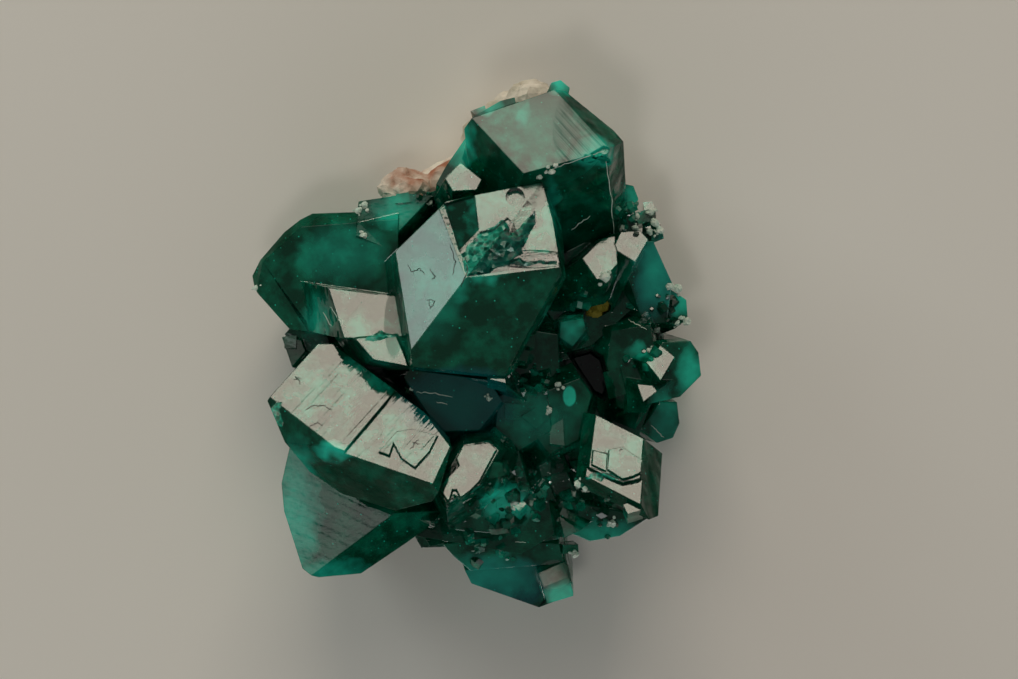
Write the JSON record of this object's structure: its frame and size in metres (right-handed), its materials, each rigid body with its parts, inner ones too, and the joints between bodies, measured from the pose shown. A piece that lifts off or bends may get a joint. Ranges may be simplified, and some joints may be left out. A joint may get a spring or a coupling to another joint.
{
  "type": "dioptase crystal cluster",
  "caption": "Cluster of intergrown, stubby dioptase crystals with a remnant of pale rock, cut off flat at the back so that it lies with its crystals upwards.",
  "frame": {"origin": "middle of the box that holds the cluster, on the surface its flat back lies on", "axes": "+Z out of the flat back towards the crystals' tips, +Y towards the crystal at the top of the picture, +X to the right"},
  "size_m": [0.0338, 0.0399, 0.0195],
  "materials": {
    "dioptase": "clear deep emerald green crystal with glassy faces",
    "calcite": null
  },
  "bodies": {
    "root": {"dioptase_crystals": "dioptase", "calcite_matrix": "calcite"}
  },
  "joints": []
}
